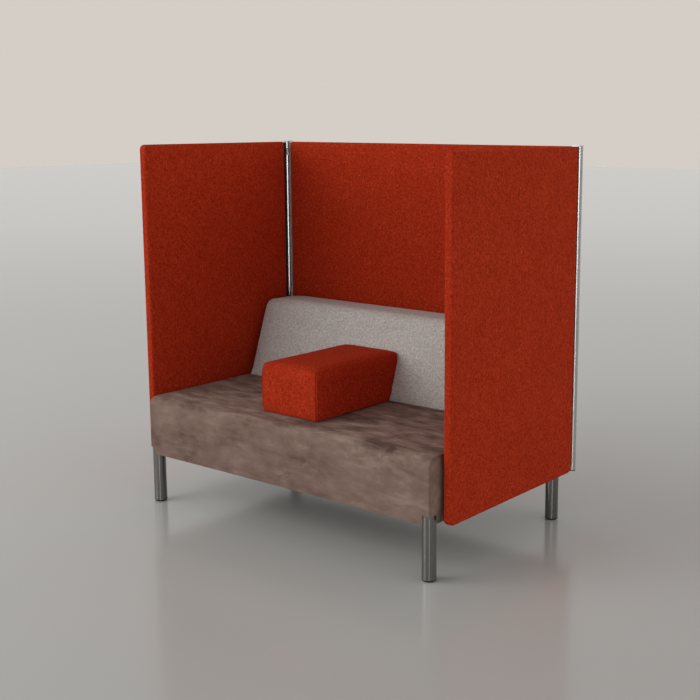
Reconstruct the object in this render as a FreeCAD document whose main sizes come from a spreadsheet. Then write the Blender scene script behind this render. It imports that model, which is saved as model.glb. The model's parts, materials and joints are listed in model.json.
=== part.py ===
import FreeCAD, Part
import math
import os
import re

import Sketcher
from FreeCAD import Placement, Rotation, Vector

# Two-seater sofa between high felt screens, in millimetres.
# +Z is up, the front faces -Y, and the origin lies on the floor under the middle of the sofa.

doc = FreeCAD.newDocument("screened_sofa")

sizes = {
    # seat
    "seat_width": 1412,
    "seat_depth": 833,
    "seat_height": 431,
    "seat_hem": 197,
    "seat_crown": 4,
    "seat_draw": 3,
    "seat_corner": 24,
    "seat_edge": 20,
    "cover_wall": 2,
    "soft_gap": 0.3,
    "seat_side_padding": 13,
    "seat_padding": 92,
    # seat frame
    "rail_thickness": 25,
    "rail_lift": 3,
    "block_reach": 110,
    "web_width": 60,
    "web_thickness": 2,
    "web_pitch_across": 170,
    "web_pitch_along": 200,
    "dust_sheet": 1.5,
    # legs and glides
    "leg_diameter": 50,
    "leg_wall": 2,
    "leg_inset": 26,
    "leg_reach": 32,
    "leg_plate": 5,
    "leg_room": 4,
    "notch_overlap": 8,
    "leg_screw_diameter": 5,
    "leg_screw_head": 10,
    "leg_screw_head_height": 3,
    "leg_screw_length": 30,
    "leg_screw_setback": 36,
    "leg_screw_pitch": 28,
    "plug_flange": 2,
    "plug_height": 20,
    "plug_gap": 0.2,
    "glide_height": 5,
    "glide_diameter": 44,
    "glide_rim": 1.5,
    "stem_diameter": 10,
    "stem_length": 34,
    "stem_gap": 0.08,
    # screens
    "screen_gap": 16,
    "back_gap": 3.5,
    "screen_thickness": 34,
    "screen_height": 1420,
    "screen_hem": 196,
    "screen_depth": 776,
    "screen_corner": 20,
    "screen_post_corner": 9,
    "screen_edge": 8,
    "felt_wall": 3,
    "core_thickness": 18,
    # corner posts and the strips that join the screens to them
    "post_diameter": 27,
    "post_reach": 33,
    "post_bore": 6.8,
    "slot_neck": 6.5,
    "slot_lip": 3.2,
    "slot_head": 11,
    "slot_depth": 3.5,
    "strip_base": 4,
    "window_drop": 28,
    "window_height": 30,
    "window_width": 8,
    "key_width": 5,
    "key_height": 25,
    "key_depth": 2,
    "cap_reach": 24,
    "cap_rim": 1.5,
    "cap_thickness": 4,
    "cap_corner": 4,
    "cap_edge": 1,
    "cap_screw_diameter": 6.4,
    "cap_screw_head": 12,
    "cap_screw_head_height": 2.5,
    "cap_screw_length": 40,
    "plug_disc": 3,
    "plug_spigot": 14,
    # bolts through the seat's rails
    "bolt_diameter": 8,
    "bolt_head": 13,
    "bolt_head_height": 5,
    "bolt_gap": 0.2,
    "side_bolt_pitch": 250,
    "back_bolt_pitch": 165,
    "bolt_end": 2,
    "spacer_diameter": 36,
    # backrest
    "back_end_gap": 27,
    "back_foot": 530.5,
    "back_lean": 18.4,
    "back_rise": 329,
    "back_clearance": 21,
    "back_bow": 6,
    "back_bulge": 5,
    "back_crown": 3,
    "back_nose": 34,
    "back_heel": 45,
    "back_end_edge": 14,
    "back_padding": 35,
    "back_end_padding": 32,
    "back_ply": 15,
    "back_front_ply": 10,
    "rib_end_gap": 40,
    "upright_width": 40,
    "upright_thickness": 6,
    "upright_spread": 340,
    "upright_foot": 40,
    "upright_head": 170,
    "upright_bolt_pitch": 60,
    "upright_bolt_length": 18,
    # armrest
    "arm_width": 280,
    "arm_offset": 36.5,
    "arm_setback": 107.5,
    "arm_rise": 193,
    "arm_gap": 7,
    "arm_draw": 2,
    "arm_crown": 4,
    "arm_corner": 14,
    "arm_edge": 13,
    "arm_padding": 20,
    "arm_ply": 12,
    "grip_pad": 2,
    "grip_inset": 14,
}

# Places that follow from the sizes.
places = {
    "total_depth": "seat_depth + back_gap + screen_thickness",
    "seat_front": "-total_depth / 2",
    "seat_rear": "seat_front + seat_depth",
    "seat_half": "seat_width / 2",
    "screen_inner": "seat_half + screen_gap",
    "post_x": "screen_inner + screen_thickness / 2",
    "back_screen_front": "seat_rear + back_gap",
    "post_y": "back_screen_front + screen_thickness / 2",
    "post_radius": "post_diameter / 2",
    "side_screen_rear": "post_y - post_reach",
    "side_screen_front": "side_screen_rear - screen_depth",
    "back_screen_half": "post_x - post_reach",
    "cap_outer": "post_radius + cap_rim",
    "core_inset": "felt_wall + soft_gap",
    "core_end": "core_inset + strip_base",
    "strip_foot": "screen_hem + screen_corner",
    "padding_sheet": "(screen_thickness - 2 * core_inset - core_thickness) / 2",
    "frame_half": "seat_half - cover_wall - 2 * soft_gap - seat_side_padding",
    "frame_front": "seat_front + cover_wall + 2 * soft_gap + seat_side_padding",
    "frame_rear": "seat_rear - cover_wall - 2 * soft_gap - seat_side_padding",
    "frame_bottom": "seat_hem + rail_lift",
    "web_top": "seat_height - cover_wall - 2 * soft_gap - seat_padding",
    "frame_top": "web_top - 2 * web_thickness",
    "side_rail_inner": "frame_half - rail_thickness",
    "front_rail_inner": "frame_front + rail_thickness",
    "rear_rail_inner": "frame_rear - rail_thickness",
    "rail_middle": "(frame_bottom + frame_top) / 2",
    "leg_x": "seat_half - leg_inset",
    "leg_radius": "leg_diameter / 2",
    "leg_top": "seat_hem + leg_reach",
    "leg_bottom": "glide_height + plug_flange",
    "block_bottom": "leg_top + leg_plate",
    "corner_cut": "frame_half - leg_x + leg_radius + leg_room",
    "rail_end": "frame_half - corner_cut",
    "hole_diameter": "bolt_diameter + 2 * bolt_gap",
    "back_base": "seat_height + soft_gap",
    "back_top": "seat_height + back_rise",
    "back_foot_y": "seat_front + back_foot",
    "back_rear": "back_screen_front - back_clearance",
    "back_half": "seat_half - back_end_gap",
    "back_board_half": "back_half - back_end_padding",
    "rib_pitch": "(back_board_half - rib_end_gap) / 1.5",
    "back_board_top": "back_top - back_heel",
    "back_board_rear": "rear_rail_inner + back_ply",
    "arm_front": "seat_front + arm_setback",
    "arm_base": "seat_height + soft_gap + grip_pad",
    "arm_top": "seat_height + arm_rise",
    "arm_half": "arm_width / 2",
    "arm_rear_foot": "back_foot_y - arm_gap / cos(back_lean)",
    "arm_core_rear": "arm_rear_foot - arm_padding",
    "arm_core_top": "arm_top - arm_padding",
}


def formula(text, own_sheet=False):
    def full_name(match):
        word = match.group(0)
        if word in sizes:
            return "Sizes." + word
        if word in places and not own_sheet:
            return "Places." + word
        return word
    return re.sub(r"[a-z]\w*", full_name, text)


def fill_sheet(title, rows):
    sheet = doc.addObject("Spreadsheet::Sheet", title)
    for row, (alias, entry) in enumerate(rows.items(), 1):
        sheet.set(f"A{row}", alias)
        sheet.set(f"B{row}", entry)
        sheet.setAlias(f"B{row}", alias)
    return sheet


size_sheet = fill_sheet("Sizes", {alias: str(size) for alias, size in sizes.items()})
doc.recompute()
fill_sheet("Places", {alias: "=" + formula(text, True) for alias, text in places.items()})
doc.recompute()

nodes = {}


def node(name, item):
    item.Label = name
    nodes[name] = item
    return item


def value(text):
    return float(size_sheet.evalExpression(formula(text)))


def bind(item, setting, text):
    item.setExpression(setting, formula(text))


def place_at(item, corner):
    for axis, text in zip("xyz", corner):
        bind(item, "Placement.Base." + axis, text)


def box(name, corner, lengths):
    item = doc.addObject("Part::Box", name)
    for side, text in zip(("Length", "Width", "Height"), lengths):
        bind(item, side, text)
    place_at(item, corner)
    return item


def span_box(name, low, high):
    return box(name, low, [f"({top}) - ({bottom})" for bottom, top in zip(low, high)])


rod_turns = {
    "x": Rotation(Vector(0, 1, 0), 90),
    "y": Rotation(Vector(1, 0, 0), -90),
    "z": Rotation(),
}


def rod(name, start, axis, diameter, length):
    item = doc.addObject("Part::Cylinder", name)
    item.Placement = Placement(Vector(), rod_turns[axis])
    bind(item, "Radius", f"({diameter}) / 2")
    bind(item, "Height", length)
    place_at(item, start)
    return item


def group(name, items):
    item = doc.addObject("Part::Compound", name)
    item.Links = items
    return item


def join(name, items):
    item = doc.addObject("Part::MultiFuse", name)
    item.Shapes = items
    return item


def cut(name, base, tools):
    item = doc.addObject("Part::Cut", name)
    item.Base = base
    item.Tool = tools[0] if len(tools) == 1 else join(name + "_tools", tools)
    return item


def rounded(name, base, radius_of):
    doc.recompute()
    edges = enumerate(base.Shape.Edges, 1)
    picked = [(number, radius_of(edge)) for number, edge in edges]
    item = doc.addObject("Part::Fillet", name)
    item.Base = base
    item.Edges = [(number, radius, radius) for number, radius in picked if radius]
    return item


flat = 0.01


def runs_along(edge, axis):
    spread = edge.BoundBox
    lengths = {"x": spread.XLength, "y": spread.YLength, "z": spread.ZLength}
    return lengths.pop(axis) > flat and max(lengths.values()) < flat


def origin_plane(body, role):
    return next(plane for plane in body.Origin.OriginFeatures if plane.Role == role)


def outline_body(name, role, points):
    body = doc.addObject("PartDesign::Body", name)
    sketch = body.newObject("Sketcher::SketchObject", name + "_outline")
    sketch.AttachmentSupport = [(origin_plane(body, role), "")]
    sketch.MapMode = "FlatFace"
    corners = [Vector(value(across), value(up), 0) for across, up in points]
    count = len(corners)
    for number, corner in enumerate(corners):
        sketch.addGeometry(Part.LineSegment(corner, corners[(number + 1) % count]))
    for number in range(count):
        following = (number + 1) % count
        sketch.addConstraint(Sketcher.Constraint("Coincident", number, 2, following, 1))
    for number, (across, up) in enumerate(points):
        for kind, text, axis_line in (("DistanceX", across, -2), ("DistanceY", up, -1)):
            if text == "0":
                sketch.addConstraint(Sketcher.Constraint("PointOnObject", number, 1, axis_line))
                continue
            rule = Sketcher.Constraint(kind, -1, 1, number, 1, value(text))
            place = sketch.addConstraint(rule)
            bind(sketch, f"Constraints[{place}]", text)
    return body, sketch


# A flat outline in plan (XY_Plane) or from the side (YZ_Plane), given a thickness.
def prism(name, role, points, start, thickness):
    body, sketch = outline_body(name, role, points)
    pad = body.newObject("PartDesign::Pad", name + "_pad")
    pad.Profile = sketch
    bind(pad, "Length", thickness)
    bind(body, "Placement.Base." + ("z" if role == "XY_Plane" else "x"), start)
    return body


# A half section, radius across and height up, turned about the upright axis.
def turned(name, points, foot):
    body, sketch = outline_body(name, "XZ_Plane", points)
    turn = body.newObject("PartDesign::Revolution", name + "_turn")
    turn.Profile = sketch
    turn.ReferenceAxis = (sketch, ["V_Axis"])
    turn.Angle = 360
    place_at(body, foot)
    return body


def soft(name, shape):
    item = doc.addObject("Part::Feature", name)
    item.Shape = shape
    return item


def line(start, end):
    return Part.LineSegment(start, end).toShape()


def arc(start, middle, end):
    return Part.Arc(start, middle, end).toShape()


# A level outline: straight sides, round corners, and a front edge drawn in by an arc.
def plan_outline(middle, half, front, rear, height, corner, draw):
    inside = corner * (1 - math.sqrt(0.5))

    def spot(across, along):
        return Vector(middle + across, along, height)

    left = spot(corner - half, front)
    right = spot(half - corner, front)
    front_edge = arc(left, spot(0, front + draw), right) if draw else line(left, right)
    return Part.Wire([
        front_edge,
        arc(right, spot(half - inside, front + inside), spot(half, front + corner)),
        line(spot(half, front + corner), spot(half, rear - corner)),
        arc(spot(half, rear - corner), spot(half - inside, rear - inside), spot(half - corner, rear)),
        line(spot(half - corner, rear), spot(corner - half, rear)),
        arc(spot(corner - half, rear), spot(inside - half, rear - inside), spot(-half, rear - corner)),
        line(spot(-half, rear - corner), spot(-half, front + corner)),
        arc(spot(-half, front + corner), spot(inside - half, front + inside), left),
    ])


# Insets and rises of a rounded edge, from its upright side to its flat top.
def edge_steps(radius):
    angles = [math.radians(angle) for angle in (0, 30, 60, 90)]
    return [(radius * (1 - math.cos(angle)), radius * math.sin(angle)) for angle in angles]


# Shares of the half depth and of the crown at which the domed top has an outline.
crown_steps = ((0.2, 0.55), (0.75, 1))


# The seat's form: upright sides, rounded top edges and a domed top.
def seat_form(inset):
    half = value("seat_half") - inset
    front = value("seat_front") + inset
    rear = value("seat_rear") - inset
    crown = value("seat_crown")
    radius = value("seat_edge") - inset
    corner = value("seat_corner") - inset
    shoulder = value("seat_height") - inset - crown
    levels = [(0, value("seat_hem"), corner)]
    for inward, rise in edge_steps(radius):
        levels.append((inward, shoulder - radius + rise, corner - inward))
    for share, lift in crown_steps:
        levels.append((radius + share * ((rear - front) / 2 - radius), shoulder + lift * crown, corner))
    return Part.makeLoft([
        plan_outline(0, half - inward, front + inward, rear - inward, height, rounding, value("seat_draw"))
        for inward, height, rounding in levels
    ], True, True)


# A section of the backrest: a full leaning front, a round nose and heel, and a flat foot.
def back_section(x, inset, share):
    lean = math.radians(value("back_lean"))
    bow = value("back_bow") * share ** 2
    base = value("back_base")
    top = value("back_top") - inset - value("back_crown") * share ** 2
    rear = value("back_rear") - inset
    nose = value("back_nose") - inset
    heel = value("back_heel") - inset
    foot = Vector(x, value("back_foot_y") + bow + inset / math.cos(lean), base)
    brow = Vector(x, foot.y + (top - base) * math.tan(lean), top)
    upward = Vector(0, math.sin(lean), math.cos(lean))
    backward = Vector(0, 1, 0)
    turn = (math.pi / 2 - lean) / 2
    nose_start = brow - upward * (nose * math.tan(turn))
    nose_end = brow + backward * (nose * math.tan(turn))
    inward = (backward - upward).normalize()
    nose_middle = brow + inward * (nose / math.cos(turn) - nose)
    belly = (foot + nose_start) / 2 + Vector(0, -math.cos(lean), math.sin(lean)) * value("back_bulge")
    heel_start = Vector(x, rear - heel, top)
    heel_end = Vector(x, rear, top - heel)
    cut_in = heel * (1 - math.sqrt(0.5))
    rear_foot = Vector(x, rear, base)
    return Part.Wire([
        arc(foot, belly, nose_start),
        arc(nose_start, nose_middle, nose_end),
        line(nose_end, heel_start),
        arc(heel_start, Vector(x, rear - cut_in, top - cut_in), heel_end),
        line(heel_end, rear_foot),
        line(rear_foot, foot),
    ])


# The backrest's form: its sections from end to end, bowed, with rounded ends.
def back_form(inset):
    half = value("back_half") - inset
    radius = value("back_end_edge") - inset
    ends_in = [(half - radius + rise, inward) for inward, rise in edge_steps(radius)]
    stations = [(-x, inward) for x, inward in reversed(ends_in)]
    stations += [(share * half, 0) for share in (-0.6, -0.2, 0.2, 0.6)]
    stations += ends_in
    return Part.makeLoft([back_section(x, inset + inward, x / half) for x, inward in stations], True, True)


# The armrest's form: sides drawn in, a domed top, and a rear that follows the backrest's lean.
def arm_form(inset):
    half = value("arm_half") - inset
    front = value("arm_front") + inset
    base = value("arm_base")
    crown = value("arm_crown")
    radius = value("arm_edge") - inset
    corner = value("arm_corner") - inset
    shoulder = value("arm_top") - inset - crown
    lean = math.radians(value("back_lean"))
    rear_foot = value("arm_rear_foot") - inset / math.cos(lean)
    waist = (base + shoulder - radius) / 2
    levels = [(0, base, corner), (value("arm_draw"), waist, corner)]
    for inward, rise in edge_steps(radius):
        levels.append((inward, shoulder - radius + rise, corner - inward))
    for share, lift in crown_steps:
        levels.append((radius + share * (half - radius), shoulder + lift * crown, corner - radius))
    return Part.makeLoft([
        plan_outline(-value("arm_offset"), half - inward, front + inward,
                     rear_foot + (height - value("back_base")) * math.tan(lean) - inward,
                     height, rounding, 0)
        for inward, height, rounding in levels
    ], True, True)


sides = {"left": -1, "right": 1}
ends = {"front": -1, "rear": 1}


# Bolts from the seat's rails into the screens, their clearance holes and the spacers between.
def bolt(name, head_start, shank_start, axis, length):
    head = rod(name + "_head", head_start, axis, "bolt_head", "bolt_head_height")
    shank = rod(name + "_shank", shank_start, axis, "bolt_diameter", length)
    return join(name, [head, shank])


side_bolts = []
side_holes = {"left": [], "right": []}
side_spacers = []
side_reach = "(post_x + core_thickness / 2 - bolt_end - side_rail_inner)"
for side, sign in sides.items():
    for step in (-1, 0, 1):
        name = f"{side}_bolt_{step + 2}"
        y = f"{step} * side_bolt_pitch"
        z = "rail_middle"
        head_x = "side_rail_inner - bolt_head_height"
        shank_x = "side_rail_inner"
        spacer_x = "seat_half"
        hole_x = "side_rail_inner - bolt_gap"
        if sign < 0:
            head_x = "-side_rail_inner"
            shank_x = f"-side_rail_inner - {side_reach}"
            spacer_x = "-screen_inner"
            hole_x = f"-side_rail_inner - {side_reach} - bolt_gap"
        side_bolts.append(bolt(name, (head_x, y, z), (shank_x, y, z), "x", side_reach))
        hole = rod(name + "_hole", (hole_x, y, z), "x", "hole_diameter", f"{side_reach} + 2 * bolt_gap")
        side_holes[side].append(hole)
        disc = rod(name + "_disc", (spacer_x, y, z), "x", "spacer_diameter", "screen_gap")
        side_spacers.append(cut(name + "_spacer", disc, [hole]))

back_bolts = []
back_holes = []
back_spacers = []
back_reach = "(post_y + core_thickness / 2 - bolt_end - rear_rail_inner)"
for step in (-3, -1, 1, 3):
    name = f"back_bolt_{(step + 5) // 2}"
    x = f"{step} * back_bolt_pitch"
    z = "rail_middle"
    head = (x, "rear_rail_inner - bolt_head_height", z)
    back_bolts.append(bolt(name, head, (x, "rear_rail_inner", z), "y", back_reach))
    hole_start = (x, "rear_rail_inner - bolt_gap", z)
    hole = rod(name + "_hole", hole_start, "y", "hole_diameter", f"{back_reach} + 2 * bolt_gap")
    back_holes.append(hole)
    disc = rod(name + "_disc", (x, "seat_rear", z), "y", "spacer_diameter", "back_gap")
    back_spacers.append(cut(name + "_spacer", disc, [hole]))

node("screen_bolts", group("screen_bolt_set", side_bolts + back_bolts))
node("side_spacers", group("side_spacer_set", side_spacers))
node("back_spacers", group("back_spacer_set", back_spacers))
all_side_holes = side_holes["left"] + side_holes["right"]

# Steel uprights that carry the backrest on the seat's rear rail, with their bolts.
upright_bolts = []
upright_bolt_holes = []
upright_slots = []
uprights = []
for side, sign in sides.items():
    middle = f"{sign} * upright_spread"
    low_x = f"{middle} - upright_width / 2"
    front_y = "rear_rail_inner - upright_thickness"
    holes = []
    heights = [f"rail_middle + {step} * upright_bolt_pitch / 2" for step in (-1, 1)]
    heights += [f"back_base + {step} * upright_bolt_pitch" for step in (1, 2)]
    for number, z in enumerate(heights, 1):
        name = f"{side}_upright_bolt_{number}"
        head = (middle, f"{front_y} - bolt_head_height", z)
        upright_bolts.append(bolt(name, head, (middle, front_y, z), "y", "upright_bolt_length"))
        hole_start = (middle, f"{front_y} - bolt_gap", z)
        hole_length = "upright_bolt_length + 2 * bolt_gap"
        holes.append(rod(name + "_hole", hole_start, "y", "hole_diameter", hole_length))
    bar = span_box(f"{side}_upright_bar",
                   (low_x, front_y, "frame_bottom + upright_foot"),
                   (f"{middle} + upright_width / 2", "rear_rail_inner", "back_top - upright_head"))
    uprights.append(cut(f"{side}_upright", bar, holes))
    upright_bolt_holes += holes
    slot_low = (f"{low_x} - soft_gap", f"{front_y} - soft_gap", "frame_bottom")
    slot_high = (f"{middle} + upright_width / 2 + soft_gap", "rear_rail_inner", "back_top")
    upright_slots.append(span_box(f"{side}_upright_slot", slot_low, slot_high))
node("backrest_uprights", group("upright_set", uprights))
node("backrest_bolts", group("upright_bolt_set", upright_bolts))

# Legs in the seat's corners: tube and welded plate, screws, plug and levelling glide.
leg_blocks = []
leg_screws = []
leg_plugs = []
cover_notches = []
padding_notches = []
corner_points = ("near", "near"), ("end", "near"), ("end", "rail"), ("far", "rail")


# The arrow-shaped corner outline that fills the rails' corner and braces their inner faces.
def corner_outline(sign, end, near, gap, reach):
    away = {
        "near": near,
        "end": f"corner_cut - {gap}",
        "rail": f"rail_thickness + {gap}",
        "far": reach,
    }
    edge_y, into = ("frame_front", "+") if end == "front" else ("frame_rear", "-")
    spots = list(corner_points) + [spot[::-1] for spot in reversed(corner_points[1:])]
    return [(f"{sign} * (frame_half - ({away[first]}))", f"{edge_y} {into} ({away[second]})")
            for first, second in spots]


for end, end_sign in ends.items():
    leg_y = "seat_front + leg_inset" if end == "front" else "seat_rear - leg_inset"
    edge_y, into = ("frame_front", "+") if end == "front" else ("frame_rear", "-")
    for side, sign in sides.items():
        name = f"{end}_{side}"
        leg_x = f"{sign} * leg_x"
        screws = []
        screw_holes = []
        for number, (along_x, along_y) in enumerate(((0, 0), (1, 0), (0, 1)), 1):
            x = f"{sign} * (frame_half - leg_screw_setback - {along_x} * leg_screw_pitch)"
            y = f"{edge_y} {into} (leg_screw_setback + {along_y} * leg_screw_pitch)"
            head = rod(f"{name}_screw_head_{number}", (x, y, "leg_top - leg_screw_head_height"), "z",
                       "leg_screw_head", "leg_screw_head_height")
            shank = rod(f"{name}_screw_shank_{number}", (x, y, "leg_top"), "z",
                        "leg_screw_diameter", "leg_screw_length")
            screws.append(join(f"{name}_screw_{number}", [head, shank]))
            screw_holes.append(rod(f"{name}_screw_hole_{number}", (x, y, "leg_top - bolt_gap"), "z",
                                   "leg_screw_diameter + 2 * bolt_gap",
                                   "leg_screw_length + 2 * bolt_gap"))
        leg_screws += screws
        block_points = corner_outline(sign, end, "0.0", "0.0", "block_reach")
        blank = prism(f"{name}_block_blank", "XY_Plane", block_points,
                      "block_bottom", "frame_top - block_bottom")
        leg_blocks.append(cut(f"{name}_block", blank, screw_holes))

        plate_points = corner_outline(sign, end, "soft_gap", "soft_gap", "block_reach - leg_room")
        plate = prism(f"{name}_plate_blank", "XY_Plane", plate_points, "leg_top", "leg_plate")
        tube = rod(f"{name}_tube", (leg_x, leg_y, "leg_bottom"), "z",
                   "leg_diameter", "leg_top - leg_bottom")
        bore = rod(f"{name}_bore", (leg_x, leg_y, "leg_bottom"), "z",
                   "leg_diameter - 2 * leg_wall", "leg_top - leg_bottom - leg_wall")
        welded = join(f"{name}_welded", [tube, plate])
        node(f"leg_{name}", cut(f"{name}_leg", welded, [bore] + screw_holes))

        plug_bore = "stem_diameter / 2 + stem_gap"
        plug_wall = "leg_radius - leg_wall - plug_gap"
        leg_plugs.append(turned(f"{name}_plug", [
            (plug_bore, "0"),
            ("leg_radius", "0"),
            ("leg_radius", "plug_flange"),
            (plug_wall, "plug_flange"),
            (plug_wall, "plug_flange + plug_height"),
            (plug_bore, "plug_flange + plug_height"),
        ], (leg_x, leg_y, "glide_height")))
        node(f"glide_{name}", turned(f"{name}_glide", [
            ("0", "0"),
            ("glide_diameter / 2 - glide_rim", "0"),
            ("glide_diameter / 2", "glide_rim"),
            ("glide_diameter / 2", "glide_height"),
            ("stem_diameter / 2", "glide_height"),
            ("stem_diameter / 2", "glide_height + stem_length"),
            ("0", "glide_height + stem_length"),
        ], (leg_x, leg_y, "0")))

        # Notches for the leg: a small one in the cover, a wide one in what lies behind it.
        for kind, depth, notches in (("cover", "notch_overlap", cover_notches),
                                     ("padding", "leg_radius + leg_room / 2", padding_notches)):
            inner_x = f"leg_x - ({depth})"
            low_x, high_x = (inner_x, "seat_half + leg_room") if sign > 0 else \
                ("-seat_half - leg_room", f"-({inner_x})")
            inner_y = f"{leg_y} {into} ({depth})"
            low_y, high_y = ("seat_front - leg_room", inner_y) if end_sign < 0 else \
                (inner_y, "seat_rear + leg_room")
            notches.append(span_box(f"{name}_{kind}_notch", (low_x, low_y, "seat_hem - leg_room"),
                                    (high_x, high_y, "leg_top + soft_gap")))
node("leg_plugs", group("plug_set", leg_plugs))
node("leg_screws", group("screw_set", leg_screws))
node("corner_blocks", group("block_set", leg_blocks))

# Seat frame of upright rails.
front_rail = span_box("front_rail", ("-rail_end", "frame_front", "frame_bottom"),
                      ("rail_end", "front_rail_inner", "frame_top"))
node("seat_front_rail", front_rail)
rear_rail = span_box("rear_rail_blank", ("-rail_end", "rear_rail_inner", "frame_bottom"),
                     ("rail_end", "frame_rear", "frame_top"))
node("seat_rear_rail", cut("rear_rail", rear_rail, back_holes + upright_bolt_holes))
for side, sign in sides.items():
    low_x, high_x = ("side_rail_inner", "frame_half") if sign > 0 else ("-frame_half", "-side_rail_inner")
    rail = span_box(f"{side}_rail_blank", (low_x, "frame_front + corner_cut", "frame_bottom"),
                    (high_x, "frame_rear - corner_cut", "frame_top"))
    node(f"seat_{side}_rail", cut(f"{side}_rail", rail, side_holes[side]))
centre_rail = span_box("centre_rail", ("-rail_thickness / 2", "front_rail_inner", "frame_bottom"),
                       ("rail_thickness / 2", "rear_rail_inner", "frame_top"))
node("seat_centre_rail", centre_rail)

# Webbing: straps from front to rear, with straps across them.
straps = []
for step in (-7, -5, -3, -1, 1, 3, 5, 7):
    middle = f"{step} * web_pitch_across / 2"
    straps.append(span_box(f"long_strap_{(step + 9) // 2}",
                           (f"{middle} - web_width / 2", "frame_front", "frame_top"),
                           (f"{middle} + web_width / 2", "frame_rear", "frame_top + web_thickness")))
for step in (-3, -1, 1, 3):
    middle = f"(frame_front + frame_rear) / 2 + {step} * web_pitch_along / 2"
    straps.append(span_box(f"cross_strap_{(step + 5) // 2}",
                           ("-frame_half", f"{middle} - web_width / 2", "frame_top + web_thickness"),
                           ("frame_half", f"{middle} + web_width / 2", "web_top")))
node("seat_webbing", group("strap_set", straps))

dust_blank = span_box("dust_blank", ("-frame_half", "frame_front", "frame_bottom - dust_sheet"),
                      ("frame_half", "frame_rear", "frame_bottom"))
node("dust_cover", cut("dust_panel", dust_blank, padding_notches))

# Seat foam and its sewn cover.
seat_outer = seat_form(0)
seat_cover = soft("seat_cover_blank", seat_outer.cut(seat_form(value("cover_wall"))))
seat_openings = all_side_holes + back_holes + upright_slots
node("seat_cover", cut("seat_cover_sewn", seat_cover, cover_notches + seat_openings))
seat_foam = soft("seat_foam_blank", seat_form(value("cover_wall + soft_gap")))
frame_room = span_box("frame_room",
                      ("-frame_half - soft_gap", "frame_front - soft_gap", "seat_hem - leg_room"),
                      ("frame_half + soft_gap", "frame_rear + soft_gap", "web_top + soft_gap"))
node("seat_foam", cut("seat_foam_cut", seat_foam, [frame_room] + padding_notches + seat_openings))


# Backrest boards: where the leaning front of the boards lies at a height above the base.
def lean_y(depth, height):
    return f"back_foot_y + ({depth}) / cos(back_lean) + ({height}) * tan(back_lean)"


board_rise = "(back_board_top - back_base)"
boards_inner = "back_padding + back_front_ply"
rear_board = span_box("rear_board_blank", ("-back_board_half", "rear_rail_inner", "back_base"),
                      ("back_board_half", "back_board_rear", "back_board_top"))
node("backrest_rear_board", cut("rear_board", rear_board, upright_bolt_holes))
base_board = span_box("base_board_blank",
                      ("-back_board_half", lean_y("back_padding", "back_ply"), "back_base"),
                      ("back_board_half", "rear_rail_inner", "back_base + back_ply"))
node("backrest_base_board", cut("base_board", base_board, upright_slots))
front_board = prism("front_board", "YZ_Plane", [
    (lean_y("back_padding", "back_ply"), "back_base + back_ply"),
    (lean_y(boards_inner, "back_ply"), "back_base + back_ply"),
    (lean_y(boards_inner, board_rise), "back_board_top"),
    (lean_y("back_padding", board_rise), "back_board_top"),
], "-back_board_half", "2 * back_board_half")
node("backrest_front_board", front_board)
ribs = []
for step in (-3, -1, 1, 3):
    ribs.append(prism(f"rib_{(step + 5) // 2}", "YZ_Plane", [
        (lean_y(boards_inner, "back_ply"), "back_base + back_ply"),
        ("rear_rail_inner", "back_base + back_ply"),
        ("rear_rail_inner", "back_board_top"),
        (lean_y(boards_inner, board_rise), "back_board_top"),
    ], f"{step} * rib_pitch / 2 - back_ply / 2", "back_ply"))
node("backrest_ribs", group("rib_set", ribs))

# Backrest foam and its sewn cover.
back_cover = back_form(0).cut(back_form(value("cover_wall")))
node("backrest_cover", soft("back_cover_sewn", back_cover))
back_foam = soft("back_foam_blank", back_form(value("cover_wall + soft_gap")))
board_room = prism("board_room", "YZ_Plane", [
    (lean_y("back_padding - soft_gap", "-leg_room"), "back_base - leg_room"),
    ("back_board_rear + soft_gap", "back_base - leg_room"),
    ("back_board_rear + soft_gap", "back_board_top + soft_gap"),
    (lean_y("back_padding - soft_gap", board_rise), "back_board_top + soft_gap"),
], "-back_board_half - soft_gap", "2 * (back_board_half + soft_gap)")
node("backrest_foam", cut("back_foam_cut", back_foam, [board_room]))

# Armrest: a loose block of foam over a plywood box, on a grip pad.
arm_cover = arm_form(0).cut(arm_form(value("cover_wall")))
node("armrest_cover", soft("arm_cover_sewn", arm_cover))
core_low = "-arm_offset - arm_half + arm_padding"
core_high = "-arm_offset + arm_half - arm_padding"
core_front = "arm_front + arm_padding"
arm_foam = soft("arm_foam_blank", arm_form(value("cover_wall + soft_gap")))
core_room = span_box("core_room",
                     (f"{core_low} - soft_gap", f"{core_front} - soft_gap", "arm_base - grip_pad"),
                     (f"{core_high} + soft_gap", "arm_core_rear + soft_gap", "arm_core_top + soft_gap"))
node("armrest_foam", cut("arm_foam_cut", arm_foam, [core_room]))
core_block = span_box("core_block", (core_low, core_front, "arm_base + arm_ply"),
                      (core_high, "arm_core_rear", "arm_core_top"))
core_hollow = span_box("core_hollow", (f"{core_low} + arm_ply", f"{core_front} + arm_ply", "arm_base"),
                       (f"{core_high} - arm_ply", "arm_core_rear - arm_ply", "arm_core_top - arm_ply"))
node("armrest_core", cut("core_box", core_block, [core_hollow]))
node("armrest_base_board", span_box("arm_base_board", (core_low, core_front, "arm_base"),
                                    (core_high, "arm_core_rear", "arm_base + arm_ply")))
node("armrest_grip_pad", span_box("arm_grip_pad",
                                  ("-arm_offset - arm_half + grip_inset", "arm_front + grip_inset",
                                   "arm_base - grip_pad"),
                                  ("-arm_offset + arm_half - grip_inset", "arm_rear_foot - grip_inset",
                                   "arm_base")))


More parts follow.
